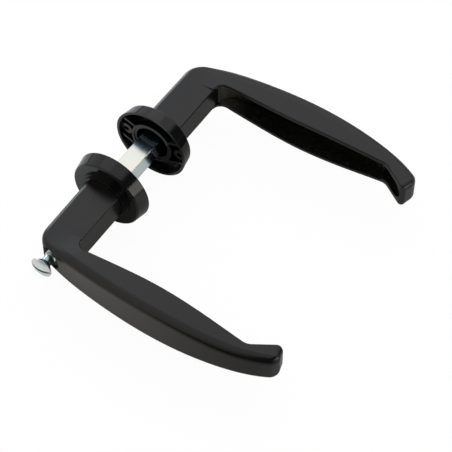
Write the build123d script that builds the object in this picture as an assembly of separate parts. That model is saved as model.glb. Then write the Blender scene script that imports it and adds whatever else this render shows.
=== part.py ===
from build123d import *
import os

# Adjustable door handle: two hollow moulded levers and two roses on one square spindle,
# drawn together by an axial clamp screw. Millimetres, X along the levers, Y along the spindle,
# Z up. The origin is the centre of the rear rose, on the face that lies against the door.

# Spindle: square bar, tapped at its front end
spindle_side = 8.0
spindle_edge = 0.3
front_reach = 20.0
rear_reach = 30.0

# Spacing of the set, and the travel of the front lever and the screw
rose_gap = 24.3
front_play = 0.3
rear_play = 1.6
lever_travel = 12.0
head_stand = 6.5

# Clearances
turn_clearance = 0.2
slide_clearance = 0.1
thread_clearance = 0.05
screw_clearance = 0.3
end_clearance = 1.0

# Lever neck, from its end face on the rose to the grip line
neck_length = 29.1
neck_half_width = 7.8
neck_half_height = 5.6
bend_half_width = 7.4
bend_radius = 8.4
inner_radius = 4.0
journal_radius = 9.0
journal_length = 3.0

# Lever in plan: stand-off from the grip line against share of the lever's reach
outer_edge = [(0.0, 7.6), (0.117, 9.7), (0.294, 11.55), (0.508, 12.35), (0.721, 11.3), (0.878, 8.3)]
inner_edge = [(0.244, 0.6), (0.411, 0.0), (0.584, 0.5), (0.741, 1.55)]
outer_start = 5.4
outer_end = 3.0
inner_start = 1.25
inner_end = 2.4
lever_reach = 98.5
hook_length = 13.8
hook_radius = 5.8
tip_drop = 5.0
tip_slant = 2.3
tip_radius = 4.0
tip_end_radius = 3.0

# Lever seen from the door: half height against share of the lever's reach
leaf_start = -5.0
leaf_edge = [(0.0975, 6.95), (0.168, 7.5), (0.294, 8.05), (0.487, 8.4), (0.685, 7.5), (0.843, 6.25)]
leaf_slant = 0.5
leaf_step = 0.05
tip_half_height = 5.5
tip_fall = 0.08

# Lever edges and hollow
outer_round = 2.2
inner_round = 0.5
grip_wall = 1.6
floor_wall = 2.6
hook_wall = 1.5
channel_corner = 8.0
channel_far_corner = 2.2
pocket_depth = 3.4
pocket_lead = 3.0
pocket_margin = 2.4

# Rose: tapered ring with an open back, a stepped collar and two blind screw bosses
rose_radius = 16.2
rose_face_radius = 15.1
rose_height = 6.0
rose_wall = 1.1
rose_plate = 2.0
rose_edge = 0.8
step_radius = 11.0
step_height = 1.1
lip_radius = 10.1
lip_height = 2.0
seat_height = 5.0
hub_bore = 7.4
hub_radius = 9.4
hub_recess = 0.6
hub_step_radius = 8.4
hub_step = 0.35
boss_circle = 25.2
boss_radius = 2.6
boss_recess = 1.6
boss_hole_radius = 1.1
boss_hole_depth = 3.4
rib_width = 1.0
rib_recess = 0.8
rib_ends = [(33.0, 28.0), (-60.0, -13.0)]

# Clamp screw: slotted raised countersunk head
screw_radius = 2.5
screw_length = 32.0
waist_radius = 2.1
waist_end = 5.3
head_radius = 4.5
head_land = 0.3
head_dome = 1.35
head_seat = 35.5
slot_width = 1.2
slot_depth = 1.3
screw_point = 0.6

# Sizes that follow from the ones above
collar_bore = journal_radius + turn_clearance
front_shoulder = seat_height + front_play
rear_shoulder = seat_height + rear_play
head_place = front_shoulder + head_seat + head_stand
screw_grip = screw_length - head_place + front_reach
tap_depth = screw_grip + lever_travel + head_stand + end_clearance
margin = 2 * rose_radius
tolerance = 0.001

# Corners of the lever in plan, and the step where its leaf outline begins
hook_start = lever_reach - hook_length
outer_corner = (-bend_half_width, neck_length + outer_start)
inner_corner = (neck_half_width, neck_length + inner_start)
hook = (hook_start, neck_length + inner_end)
tip_outer = (lever_reach, neck_length + outer_end)
tip_inner = (lever_reach - tip_slant, neck_length - tip_drop)
grip_start = inner_corner[1] - inner_radius


def at_grip(point):
    """Plan point from its share of the lever's reach and its stand-off from the grip line."""
    share, stand_off = point
    return (share * lever_reach, neck_length + stand_off)


def beyond(start, end, distance):
    """Point on the line from start to end, carried past the end by a distance across the lever."""
    rate = (end[0] - start[0]) / (end[1] - start[1])
    step = distance if end[1] > start[1] else -distance
    return (end[0] + rate * step, end[1] + step)


def rounded(face, rounds):
    """Plan face with the corners at the given points rounded."""
    for point, radius in rounds:
        corner = face.vertices().sort_by_distance((*point, 0))[0]
        face = fillet(corner, radius)
    return face


def outline(*edges):
    """Face inside a closed run of edges."""
    return make_face(Curve() + list(edges))


def rim_edges(solid, plan_edges):
    """Upper and lower edges of a solid that lie over the given plan edges."""
    rims = []
    for edge in solid.edges():
        middle = edge @ 0.5
        level = (edge @ 0).Z * (edge @ 1).Z > 0
        over = min(plan.distance_to((middle.X, middle.Y, 0)) for plan in plan_edges)
        if level and over < tolerance:
            rims.append(edge)
    return rims


def outer_form():
    """Outer side of a lever: neck, bend, bowed back and tip, carried far past the door side."""
    neck_far = beyond(outer_corner, (-neck_half_width, 0), margin)
    tip_far = beyond(tip_outer, tip_inner, tip_inner[1] + margin)
    back = Spline(outer_corner, *[at_grip(p) for p in outer_edge], tip_outer)
    face = outline(Line(neck_far, outer_corner), back, Line(tip_outer, tip_far), Line(tip_far, neck_far))
    face = rounded(face, [(outer_corner, bend_radius), (tip_outer, tip_radius)])
    solid = extrude(face, amount=margin, both=True) & leaf()
    shown = [edge for edge in face.edges() if edge.center().Y > -margin / 2]
    return fillet(rim_edges(solid, shown), outer_round)


def door_space():
    """Plan of the space on the door side of a lever: beside the neck, behind the grip and the hook."""
    neck_far = (neck_half_width, -2 * margin)
    tip_far = (lever_reach + tip_slant, tip_outer[1])
    corner = (tip_far[0], neck_far[1])
    grip_line = Spline(inner_corner, *[at_grip(p) for p in inner_edge], hook)
    face = outline(
        Line(neck_far, inner_corner), grip_line, Line(hook, tip_inner), Line(tip_inner, tip_far),
        Line(tip_far, corner), Line(corner, neck_far))
    return rounded(face, [(inner_corner, inner_radius), (hook, hook_radius), (tip_inner, tip_end_radius)])


def leaf(inset=0.0):
    """Solid of the lever outline seen from the door, slanted across the bend and drawn in by an inset."""
    start = (-margin, neck_half_height - inset)
    neck = (leaf_start, neck_half_height - inset)
    swell = [(share * lever_reach, half - inset) for share, half in leaf_edge]
    tip = (lever_reach, tip_half_height - inset)
    end = (tip[0] + rose_radius, tip[1] - tip_fall * rose_radius)
    top = Line(start, neck) + Spline(neck, *swell, tip, end, tangents=[(1, 0), (1, -tip_fall)])
    low = mirror(top, about=Plane.XZ)
    face = outline(top, low, Line(start, (start[0], -start[1])), Line(end, (end[0], -end[1])))
    back = Plane.XZ.offset(-outer_corner[1] - margin) * Pos(-leaf_slant * margin, 0) * face
    slant = Vector(leaf_slant, -1, 0)
    return extrude(back, amount=4 * margin * slant.length, dir=slant)


def channel():
    """Hollow behind the grip, open towards the door."""
    floor = [at_grip((share, stand_off - floor_wall)) for share, stand_off in outer_edge[1:-1]]
    near = (neck_half_width, outer_corner[1])
    far = (hook_start - hook_wall, neck_length + outer_edge[-1][1] - floor_wall)
    near_mouth = (near[0], tip_inner[1])
    far_mouth = (far[0], tip_inner[1])
    bottom = Spline(near, *floor, far)
    face = outline(Line(near_mouth, near), bottom, Line(far, far_mouth), Line(far_mouth, near_mouth))
    face = rounded(face, [(near, channel_corner), (far, channel_far_corner)])
    return extrude(face, amount=margin, both=True) & leaf(grip_wall)


def tip_pocket():
    """Round-ended hollow in the door side of the hooked tip, which carries the channel on into it."""
    run = Vector(tip_inner[0] - hook[0], tip_inner[1] - hook[1])
    half_height = tip_half_height - grip_wall
    length = run.length - pocket_margin - half_height + pocket_lead
    across = Plane(origin=(*hook, 0), x_dir=(run.X, run.Y, 0), z_dir=(-run.Y, run.X, 0))
    slot = Pos(length / 2 - pocket_lead, 0) * Rectangle(length, 2 * half_height)
    slot = slot + Pos(length - pocket_lead, 0) * Circle(half_height)
    return extrude(across * slot, amount=pocket_depth, both=True)


def neck_trim():
    """Space above and below the neck, up to the step where the leaf outline of the grip begins."""
    height = neck_half_height + leaf_step
    width = 2 * (neck_half_width + inner_radius)
    block = Box(width, margin, margin, align=(Align.CENTER, Align.MAX, Align.MIN))
    upper = Pos(0, grip_start, height) * block
    return upper + mirror(upper, about=Plane.XY)


def lever_blank():
    """Moulded lever before its socket: hollow grip, neck and the round journal that turns in a rose."""
    space = door_space()
    body = outer_form() - extrude(space, amount=margin, both=True) - neck_trim()
    body = fillet(rim_edges(body, space.edges()), inner_round)
    neck_end = Pos(0, journal_length - 2 * margin, 0) * Box(2 * margin, 4 * margin, 2 * margin)
    body = body - neck_end - channel() - tip_pocket()
    journal = extrude(Plane.XZ * Circle(journal_radius), amount=-journal_length)
    return body + journal


def square_hole(side, depth):
    """Square socket cut in from the neck end, along the spindle axis."""
    return extrude(Plane.XZ * Rectangle(side, side), amount=-depth)


def rear_lever():
    """Lever moulded on to the rear end of the spindle."""
    lever = lever_blank() - square_hole(spindle_side, rear_reach - rear_shoulder)
    return Pos(0, rear_shoulder, 0) * lever


def front_lever():
    """Lever that slides on the spindle, with a countersunk hole for the clamp screw."""
    socket_side = spindle_side + 2 * slide_clearance
    socket_depth = front_reach - front_shoulder + lever_travel + end_clearance
    lever = lever_blank() - square_hole(socket_side, socket_depth)
    hole_radius = screw_radius + screw_clearance
    mouth_radius = head_radius + screw_clearance
    cone_depth = mouth_radius - hole_radius
    section = Polyline(
        (0, 0), (hole_radius, 0), (hole_radius, head_seat - cone_depth), (mouth_radius, head_seat),
        (mouth_radius, head_seat + margin), (0, head_seat + margin), close=True)
    lever = lever - revolve(make_face(section), Axis.Y)
    return Pos(0, -rose_gap - front_shoulder, 0) * mirror(lever, about=Plane.XZ)


def rose():
    """Tapered ring with an open ribbed back, standing on the door face at Y = 0."""
    plate_back = rose_height - rose_plate
    section = Polyline(
        (rose_radius, 0), (rose_face_radius, rose_height), (step_radius, rose_height),
        (step_radius, rose_height + step_height), (lip_radius, rose_height + step_height),
        (lip_radius, rose_height + lip_height), (collar_bore, rose_height + lip_height),
        (collar_bore, seat_height), (hub_bore, seat_height), (hub_bore, hub_recess + hub_step),
        (hub_step_radius, hub_recess + hub_step), (hub_step_radius, hub_recess),
        (hub_radius, hub_recess), (hub_radius, plate_back),
        (rose_face_radius - rose_wall, plate_back), (rose_radius - rose_wall, 0), close=True)
    face = rounded(make_face(section), [((rose_face_radius, rose_height), rose_edge)])
    ring = revolve(face, Axis.Y)
    for side in (1, -1):
        ring = ring + rose_boss(side, plate_back)
    for side in (1, -1):
        ring = ring - boss_hole(side)
    return ring


def rose_boss(side, plate_back):
    """Screw boss on the X axis of a rose, with the pair of ribs that run past it from the hub to the rim."""
    level = Plane.XZ.offset(-plate_back)
    circle = Pos(side * boss_circle / 2, 0) * Circle(boss_radius)
    boss = extrude(level * circle, amount=plate_back - boss_recess)
    for hub_angle, rim_angle in rib_ends:
        start = Vector(hub_radius - rib_width / 2, 0).rotate(Axis.Z, hub_angle)
        end = Vector(rose_face_radius - rose_wall / 2, 0).rotate(Axis.Z, rim_angle)
        run = end - start
        middle = start + run * 0.5
        bar = Plane(origin=(middle.X, middle.Y), x_dir=(run.X, run.Y, 0)) * Rectangle(run.length, rib_width)
        rib = extrude(level * bar, amount=plate_back - rib_recess)
        boss = boss + (rib if side > 0 else mirror(rib, about=Plane.YZ))
    return boss


def boss_hole(side):
    """Blind screw hole in a boss, open towards the door."""
    level = Plane.XZ.offset(-boss_recess)
    return extrude(level * Pos(side * boss_circle / 2, 0) * Circle(boss_hole_radius), amount=-boss_hole_depth)


def spindle():
    """Square bar with a tapped hole in its front end."""
    length = front_reach + rose_gap + rear_reach
    bar = extrude(Plane.XZ * Rectangle(spindle_side, spindle_side), amount=-length)
    bar = chamfer(bar.edges().filter_by(Axis.Y), spindle_edge)
    tap = extrude(Plane.XZ * Circle(screw_radius + thread_clearance), amount=-tap_depth)
    return Pos(0, -rose_gap - front_reach, 0) * (bar - tap)


def clamp_screw():
    """Slotted raised countersunk screw, pointing along +Y from the rim of its head."""
    cone_end = head_land + head_radius - waist_radius
    crown_radius = (head_radius ** 2 + head_dome ** 2) / (2 * head_dome)
    crown = RadiusArc((0, -head_dome), (head_radius, 0), -crown_radius)
    shank = Polyline(
        (head_radius, 0), (head_radius, head_land), (waist_radius, cone_end), (waist_radius, waist_end),
        (screw_radius, waist_end + screw_radius - waist_radius), (screw_radius, screw_length - screw_point),
        (screw_radius - screw_point, screw_length), (0, screw_length), (0, -head_dome))
    screw = revolve(outline(crown, shank), Axis.Y)
    slot = Pos(0, slot_depth / 2 - head_dome, 0) * Box(3 * head_radius, slot_depth, slot_width)
    return Pos(0, -rose_gap - head_place, 0) * (screw - slot)


def assembly():
    """Every piece of the handle under its node name, as the set is assembled."""
    return {
        "rear_rose": rose(),
        "rear_lever": rear_lever(),
        "spindle": spindle(),
        "front_lever": front_lever(),
        "front_rose": Pos(0, -rose_gap, 0) * mirror(rose(), about=Plane.XZ),
        "clamp_screw": clamp_screw(),
    }


os.makedirs("parts", exist_ok=True)
for name, piece in assembly().items():
    export_step(piece, f"parts/{name}.step")
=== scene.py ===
import math

import bmesh
import bpy
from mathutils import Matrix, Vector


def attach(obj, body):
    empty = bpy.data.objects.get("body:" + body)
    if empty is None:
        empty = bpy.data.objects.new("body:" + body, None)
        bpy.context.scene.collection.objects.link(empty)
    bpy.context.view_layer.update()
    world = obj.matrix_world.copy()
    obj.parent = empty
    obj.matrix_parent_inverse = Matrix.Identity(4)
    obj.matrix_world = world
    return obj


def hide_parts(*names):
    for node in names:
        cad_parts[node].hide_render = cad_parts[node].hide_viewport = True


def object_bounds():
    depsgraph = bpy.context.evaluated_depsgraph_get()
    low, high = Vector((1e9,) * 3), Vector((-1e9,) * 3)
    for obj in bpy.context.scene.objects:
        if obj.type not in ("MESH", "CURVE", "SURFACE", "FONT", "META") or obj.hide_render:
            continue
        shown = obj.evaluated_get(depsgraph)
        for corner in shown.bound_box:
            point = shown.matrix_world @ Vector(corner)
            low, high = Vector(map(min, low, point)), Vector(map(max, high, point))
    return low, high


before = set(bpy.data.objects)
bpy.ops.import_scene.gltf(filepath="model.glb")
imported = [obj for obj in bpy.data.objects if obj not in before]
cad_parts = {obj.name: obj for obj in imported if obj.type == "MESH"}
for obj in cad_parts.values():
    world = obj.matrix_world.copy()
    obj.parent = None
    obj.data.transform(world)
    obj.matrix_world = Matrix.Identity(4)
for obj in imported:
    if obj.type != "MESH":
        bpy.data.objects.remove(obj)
cad_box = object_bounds()


# Levers: a mirrored pair of hollow grips, injection moulded in black nylon. The rear one is moulded on to
# the spindle and the front one slides on it. The skin is a satin gloss with a slight ripple, and its faces
# round off towards the back; the open hollow is left dull and grainy with faint streaks, and by the neck it
# is painted paler, a painted light where light reaches into it.
class Shade:
    """A socket of a material that can stand in a Python expression."""

    def __init__(self, tree, socket=None):
        self.tree = tree
        self.socket = socket

    def node(self, kind, settings=None, sockets=None, output=0):
        """Adds a node: its settings first, then the values or links of its sockets."""
        made = self.tree.nodes.new(kind)
        for name, setting in (settings or {}).items():
            setattr(made, name, setting)
        for name, value in (sockets or {}).items():
            if isinstance(value, Shade):
                self.tree.links.new(value.socket, made.inputs[name])
            else:
                made.inputs[name].default_value = value
        return Shade(self.tree, made.outputs[output] if made.outputs else None)

    def math(self, operation, first, second=0.0):
        return self.node("ShaderNodeMath", {"operation": operation}, {0: first, 1: second})

    def rise(self, low, high):
        """Soft step from 0 to 1 between two values of this one."""
        return self.node(
            "ShaderNodeMapRange", {"interpolation_type": "SMOOTHSTEP"},
            {"Value": self, "From Min": low, "From Max": high})

    def axes(self):
        """The three parts of a vector."""
        parts = self.node("ShaderNodeSeparateXYZ", None, {0: self}).socket.node.outputs
        return [Shade(self.tree, part) for part in parts]

    def __abs__(self):
        return self.math("ABSOLUTE", self)

    def __add__(self, other):
        return self.math("ADD", self, other)

    def __radd__(self, other):
        return self.math("ADD", other, self)

    def __sub__(self, other):
        return self.math("SUBTRACT", self, other)

    def __rsub__(self, other):
        return self.math("SUBTRACT", other, self)

    def __mul__(self, other):
        return self.math("MULTIPLY", self, other)

    def __rmul__(self, other):
        return self.math("MULTIPLY", other, self)


def new_material(name):
    """An empty material and the handle that its expressions start from."""
    material = bpy.data.materials.new(name)
    material.use_nodes = True
    material.node_tree.nodes.clear()
    return material, Shade(material.node_tree)


def finish_material(shade, surface):
    """Joins a surface to the material's output."""
    shade.node("ShaderNodeOutputMaterial", None, {"Surface": surface})


def noise(place, scale, detail):
    """Cloudy values round 0.5, with about so many patches a metre."""
    return place.node("ShaderNodeTexNoise", None, {"Vector": place, "Scale": scale, "Detail": detail}, "Fac")


def drawn_out(place, scale):
    """The place scaled along each axis; below 1, a noise on it is drawn out along that axis."""
    return place.node("ShaderNodeMapping", None, {"Vector": place, "Scale": scale})


def mixed_colour(factor, first, second):
    """A colour between two others; 6, 7 and 2 are the colour sockets of a Mix node."""
    return factor.node("ShaderNodeMix", {"data_type": "RGBA"}, {"Factor": factor, 6: first, 7: second}, 2)


def moulded_plastic(name, roughness, ripple, grain, form=None):
    """Black moulded nylon, with heights in mm; form says where it is dull, where light is painted in, and
    its drop.
    """
    deep_black = (0.0042, 0.0042, 0.0046, 1.0)
    soft_black = (0.0088, 0.0086, 0.0088, 1.0)
    # A pale grey that paints light into the neck end of the hollow, and also tints the grain streaks in it.
    painted_light_and_streak_grey = (0.13, 0.126, 0.108, 1.0)
    dull_grain = 0.005
    millimetre = 0.001

    material, start = new_material(name)
    place = start.node("ShaderNodeTexCoord", output="Object")
    dull, neck_end_painted_light, drop = form(*place.axes()) if form else (0.0, 0.0, 0.0)
    cloud = noise(place, scale=90.0, detail=3.0)
    wave = noise(place, scale=260.0, detail=1.0)
    speck = noise(place, scale=2600.0, detail=2.0)
    streak = noise(drawn_out(place, (1.0, 1.0, 0.1)), scale=900.0, detail=2.0)
    # Painted light: the hollow's neck end is coloured pale where light reaches in, broken by streaks and
    # specks; the faint streaks in the rest of the hollow are grain.
    painted_light_and_streaks = neck_end_painted_light * (streak + speck - 0.3) + 0.12 * dull * streak.rise(0.52, 0.7)
    height = ripple * wave + (grain + dull_grain * dull) * speck - drop
    normal = start.node("ShaderNodeBump", None, {"Height": height, "Strength": 1.0, "Distance": millimetre})
    surface = start.node("ShaderNodeBsdfPrincipled", None, {
        "Base Color": mixed_colour(painted_light_and_streaks, mixed_colour(cloud, deep_black, soft_black), painted_light_and_streak_grey),
        "Roughness": roughness - 0.05 + 0.07 * cloud + 0.05 * speck + 0.3 * neck_end_painted_light,
        "Normal": normal,
        "IOR": 1.52,
    })
    finish_material(start, surface)
    return material


def lever_form(x, y, z):
    """Where a lever is dull in its hollow, where its neck end has painted light, and how many mm its faces
    drop back.
    """
    # The levers mirror each other. From the rim of the hollow the back bows out between the neck and the
    # tip, more sharply by the tip, and the upper and lower edges run together as those of a leaf do.
    mirror_plane = -0.0115
    rim_from_mirror = 0.0472
    back_middle = 0.0494
    back_height = 0.01236
    back_bow = 1.95
    tip_bow = 750.0
    leaf_middle = 0.043
    leaf_half_height = 0.0083
    leaf_bow = 1.1
    back_drop = 0.8

    # Each span is where one finish, shape or painted light turns into the next: four depths, then four
    # places along the grip.
    rim = (0.0002, 0.0008)
    back_wall = (0.0012, 0.0016)
    edge_wall = (0.0011, 0.0014)
    rounding = (0.0008, 0.0040)
    neck = (-0.004, 0.012)
    hollow_start = (0.0072, 0.0077)
    painted_light_end = (0.009, 0.021)
    tip = (0.045, 0.075)

    past_rim = abs(y - mirror_plane) - rim_from_mirror
    along = (x - back_middle) * (x - back_middle)
    to_back = back_height - back_bow * along - tip_bow * along * along * x.rise(*tip) - past_rim
    to_edge = leaf_half_height - leaf_bow * (x - leaf_middle) * (x - leaf_middle) - abs(z)
    inside_rim = past_rim.rise(*rim) * x.rise(*hollow_start)
    dull = to_back.rise(*back_wall) * to_edge.rise(*edge_wall) * inside_rim
    # Painted light: the hollow is made paler at its neck end, fading along the grip.
    neck_end_painted_light = dull * (1.0 - 0.95 * x.rise(*painted_light_end))
    drop = back_drop * x.rise(*neck) * (1.0 - to_back.rise(*rounding))
    return dull, neck_end_painted_light, drop


lever_plastic = moulded_plastic("lever_plastic", roughness=0.25, ripple=0.006, grain=0.0003, form=lever_form)
for lever in ("rear_lever", "front_lever"):
    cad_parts[lever].material_slots[0].material = lever_plastic


# Roses: a pair of tapered rings in the same black nylon, with a shinier, smoother skin than the levers.
# Each stands on the door on its rim, and the neck of a lever turns in its stepped collar.
rose_plastic = moulded_plastic("rose_plastic", roughness=0.11, ripple=0.0012, grain=0.0004)
for rose in ("rear_rose", "front_rose"):
    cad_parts[rose].material_slots[0].material = rose_plastic


# Spindle: cold-drawn square steel bar, zinc plated and fixed in the rear lever. The drawing leaves fine
# lines along the bar; the plating is bright, painted in a lit tone on its upward flats and another on its
# sides, and its rear end is tinted blue, partly its passivation and partly painted shade.
def zinc_plate(name, line_stretch, roughness, side_painted_tone, flat_painted_tone):
    """Bright zinc plate in two painted tones, lit and shaded, for sides and upward flats, with lines drawn
    out along the Y axis.
    """
    rear_passivation_and_shade_blue = (0.60, 0.80, 0.96, 1.0)
    rear_end = (-0.0085, -0.005)
    painted_tone_slope = (0.3, 0.8)
    line_depth = 0.000004

    material, start = new_material(name)
    place = start.node("ShaderNodeTexCoord", output="Object")
    upward_for_painted_tone = abs(start.node("ShaderNodeTexCoord", output="Normal").axes()[2])
    lines = noise(drawn_out(place, (1.0, line_stretch, 1.0)), scale=1800.0, detail=3.0)
    stain = noise(place, scale=160.0, detail=4.0)
    # Painted light and shade: upward flats and sides get tones of their own as light falls on them, mixed
    # with a real stain.
    stain_and_painted_facing_tone = mixed_colour(0.3 * stain + 0.7 * upward_for_painted_tone.rise(*painted_tone_slope), side_painted_tone, flat_painted_tone)
    normal = start.node("ShaderNodeBump", None, {"Height": lines, "Strength": 1.0, "Distance": line_depth})
    surface = start.node("ShaderNodeBsdfPrincipled", None, {
        # The rear end is tinted blue, partly the passivation and partly painted shade where the rear rose
        # shades the bar.
        "Base Color": mixed_colour(place.axes()[1].rise(*rear_end), stain_and_painted_facing_tone, rear_passivation_and_shade_blue),
        "Roughness": roughness - 0.04 + 0.06 * stain + 0.06 * lines,
        "Metallic": 1.0,
        "Normal": normal,
    })
    finish_material(start, surface)
    return material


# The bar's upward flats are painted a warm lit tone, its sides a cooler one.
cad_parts["spindle"].material_slots[0].material = zinc_plate(
    "bar_zinc", line_stretch=0.03, roughness=0.16,
    side_painted_tone=(0.83, 0.93, 0.95, 1.0), flat_painted_tone=(0.98, 0.955, 0.86, 1.0))


# Clamp screw: slotted raised countersunk steel screw, zinc plated, turned in through the bend of the front
# lever into the tapped end of the spindle. Its thread is rolled into the shank.
thread_radius = 0.0025
thread_depth = 0.00042
thread_pitch = 0.0008
flat_share_of_pitch = 1 / 12
runout = 0.0006
steps_per_turn = 36
rows_per_pitch = 10
shank_tolerance = 0.00002
sharp_angle = math.radians(35)

work = bmesh.new()
work.from_mesh(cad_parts["clamp_screw"].data)
shank = [
    face for face in work.faces
    if all(abs(math.hypot(v.co.x, v.co.z) - thread_radius) < shank_tolerance for v in face.verts)]
shank_start = min(v.co.y for face in shank for v in face.verts)
shank_end = max(v.co.y for face in shank for v in face.verts)
bmesh.ops.delete(work, geom=shank, context="FACES")

row_count = round((shank_end - shank_start) / thread_pitch * rows_per_pitch)
last_row = None
for row in range(row_count + 1):
    along = shank_start + (shank_end - shank_start) * row / row_count
    fade = min(1.0, (along - shank_start) / runout, (shank_end - along) / runout)
    ring = []
    for step in range(steps_per_turn):
        turn = step / steps_per_turn
        from_crest = abs((along / thread_pitch - turn) % 1.0 - 0.5)
        groove = min(1.0, max(0.0, (from_crest - flat_share_of_pitch / 2) / (0.5 - flat_share_of_pitch)))
        radius = thread_radius - thread_depth * fade * groove
        angle = 2 * math.pi * turn
        ring.append(work.verts.new((radius * math.cos(angle), along, radius * math.sin(angle))))
    for step in range(steps_per_turn if last_row else 0):
        after = (step + 1) % steps_per_turn
        work.faces.new((last_row[step], ring[step], ring[after], last_row[after]))
    last_row = ring

screw_mesh = bpy.data.meshes.new("threaded_screw")
work.to_mesh(screw_mesh)
work.free()
if "custom_normal" in screw_mesh.attributes:
    screw_mesh.attributes.remove(screw_mesh.attributes["custom_normal"])
screw_mesh.shade_smooth()
screw_mesh.set_sharp_from_angle(angle=sharp_angle)
screw_mesh.materials.clear()
# The screw's sides are painted bright and its upward flats darker, as painted light and shade.
screw_mesh.materials.append(zinc_plate(
    "screw_zinc", line_stretch=1.0, roughness=0.28,
    side_painted_tone=(0.95, 1.0, 1.0, 1.0), flat_painted_tone=(0.40, 0.53, 0.535, 1.0)))
screw = bpy.data.objects.new("threaded_screw", screw_mesh)
bpy.context.scene.collection.objects.link(screw)
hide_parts("clamp_screw")
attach(screw, "clamp_screw")


# Floor: a plain white table under the set, which rests on the rims of its roses. The camera sees through
# most of it to the white room, so a lever turned below it still shows, and it keeps part of the shadow. In
# reflections it glows with painted light and shade: dim, with painted pools of light in front, on the left
# and between the roses, and a painted shadow under the set.
floor_reach = 3.0
floor_level = cad_box[0].z
corners = [(x * floor_reach, y * floor_reach, floor_level) for x, y in ((-1, -1), (1, -1), (1, 1), (-1, 1))]

floor_mesh = bpy.data.meshes.new("floor")
floor_mesh.from_pydata(corners, [], [(0, 1, 2, 3)])
floor = bpy.data.objects.new("floor", floor_mesh)
bpy.context.scene.collection.objects.link(floor)

floor_material, table = new_material("white_table")


def painted_table_glow(colour, strength):
    """One even glow of the table, a painted light or shade for reflections."""
    return table.node("ShaderNodeEmission", None, {"Color": (*colour, 1.0), "Strength": strength})


def blend(factor, first, second):
    """Two surfaces or two lights mixed by a factor."""
    return first.node("ShaderNodeMixShader", None, {0: factor, 1: first, 2: second})


paper = table.node("ShaderNodeBsdfDiffuse", None, {"Color": (0.80, 0.795, 0.77, 1.0)})
shaded = painted_table_glow((1.0, 0.98, 0.94), 0.29)
lit_front = painted_table_glow((1.0, 0.97, 0.92), 0.80)
lit_left = painted_table_glow((0.93, 0.97, 1.0), 0.95)
dark = painted_table_glow((1.0, 1.0, 1.0), 0.07)
clear = table.node("ShaderNodeBsdfTransparent")

# Each span is where one painted tone turns into the next: five along the X axis, then four along the Y axis.
left_side = (-0.040, -0.003)
front_fade = (-0.02, 0.10)
bar_side = (0.006, 0.009)
neck_side = (0.0095, 0.0115)
right_end = (0.085, 0.100)
front_edge = (-0.080, -0.065)
neck_front = (-0.062, -0.056)
gap_front = (-0.022, -0.014)
gap_back = (0.006, 0.012)

x, y = table.node("ShaderNodeTexCoord", output="Object").axes()[:2]
behind_front = y.rise(*front_edge)
in_front = (1.0 - behind_front) * (1.0 - x.rise(*front_fade))
door_gap = x.rise(*bar_side) * y.rise(*gap_front) * (1.0 - y.rise(*gap_back))
beside = 1.0 - x.rise(*left_side) + 0.41 * door_gap + 0.19 * x.rise(*right_end)
under = (1.0 - abs(x).rise(*neck_side)) * (1.0 - door_gap) * y.rise(*neck_front)

# Painted light and shade seen in reflections: pools of light in front, on the left and between the roses, a
# shadow under the set.
reflected = blend(in_front, shaded, lit_front)
reflected = blend(behind_front * beside, reflected, lit_left)
reflected = blend(under, reflected, dark)
glossy_ray = table.node("ShaderNodeLightPath", output="Is Glossy Ray")
camera_ray = table.node("ShaderNodeLightPath", output="Is Camera Ray")
tabletop = blend(0.75 * glossy_ray, paper, reflected)
finish_material(table, blend(0.9 * camera_ray, tabletop, clear))
floor_mesh.materials.append(floor_material)


# Light: a white cloth tent round the left, the back and the top of the set, warmer on its front side. A
# warm card stands on the right and a narrow bright strip on the left, a soft box hangs above, and the room
# is dark on the camera's side and in the right-hand corner behind.
up = (0.0, 0.0, 1.0)
forward = (0.0, -1.0, 0.0)
warm_front = (0.1, 0.6)
tent_side = (-0.857, 0.515, 0.30)
tent_edge = (-0.22, -0.02)
tent_foot = (0.04, 0.08)
dark_corner = (0.66, 0.74, 0.13)
corner_edge = (0.90, 0.96)
card_side = (0.906, 0.0, 0.423)
card_edge = (0.875, 0.89)
card_top = (0.44, 0.50)
strip_side = (-0.848, 0.530, 0.0)
strip_end = (0.80, 0.88)
strip_across = (-0.530, -0.848, 0.0)
strip_edge = (0.10, 0.14)
box_place = (-0.30, 0.46, 0.74)
box_size = 0.9
box_radiance = 0.27
white_behind_table = 1.06

room_world = bpy.data.worlds.new("room")
room_world.use_nodes = True
room_world.node_tree.nodes.clear()
room = Shade(room_world.node_tree)
ray = room.node("ShaderNodeTexCoord", output="Generated")


def towards(side):
    """How far the ray points to a side, from -1 to 1."""
    return room.node("ShaderNodeVectorMath", {"operation": "DOT_PRODUCT"}, {0: ray, 1: side}, "Value")


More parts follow.
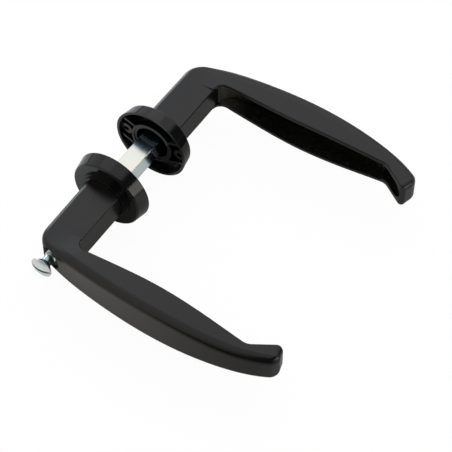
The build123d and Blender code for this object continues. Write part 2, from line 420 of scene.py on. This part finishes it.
def glow(colour, strength):
    """Even light of one colour."""
    return room.node("ShaderNodeBackground", None, {"Color": (*colour, 1.0), "Strength": strength})


dim_room = glow((1.0, 1.0, 1.0), 0.03)
cool_cloth = glow((0.95, 0.96, 1.0), 0.65)
warm_cloth = glow((1.0, 0.93, 0.82), 0.6)
card_light = glow((1.0, 0.98, 0.91), 1.9)
strip_light = glow((0.90, 0.96, 1.0), 3.4)
white = glow((1.0, 1.0, 1.0), white_behind_table)

tent = towards(tent_side).rise(*tent_edge) * towards(up).rise(*tent_foot)
tent = tent * (1.0 - towards(dark_corner).rise(*corner_edge))
card = towards(card_side).rise(*card_edge) * (1.0 - towards(up).rise(*card_top))
strip = (1.0 - abs(towards(strip_across)).rise(*strip_edge)) * towards(strip_side).rise(*strip_end)
light = blend(tent, dim_room, blend(towards(forward).rise(*warm_front), cool_cloth, warm_cloth))
light = blend(card, light, card_light)
light = blend(strip, light, strip_light)
light = blend(room.node("ShaderNodeLightPath", output="Is Camera Ray"), light, white)
room.node("ShaderNodeOutputWorld", None, {"Surface": light})
bpy.context.scene.world = room_world

lamp = bpy.data.lights.new("soft_box", "AREA")
lamp.size = box_size
lamp.energy = box_radiance * math.pi * box_size ** 2
soft_box = bpy.data.objects.new("soft_box", lamp)
soft_box.location = box_place
aim = (cad_box[0] + cad_box[1]) / 2 - soft_box.location
soft_box.rotation_euler = aim.to_track_quat("-Z", "Y").to_euler()
bpy.context.scene.collection.objects.link(soft_box)
bpy.context.scene.view_settings.view_transform = "Standard"


# Camera: a long lens in front of the set and above its right-hand side, looking down to the left and back.
# Its place was fitted to the outlines of the set, with the frame unshifted and everything in focus.
lens = bpy.data.cameras.new("camera")
lens.lens = 147.7
lens.sensor_width = 36.0
lens.clip_start = 0.01
camera = bpy.data.objects.new("camera", lens)
camera.location = (0.28043, -0.37125, 0.56338)
camera.rotation_euler = (math.radians(36.97), 0.0, math.radians(33.41))
bpy.context.scene.collection.objects.link(camera)
bpy.context.scene.camera = camera
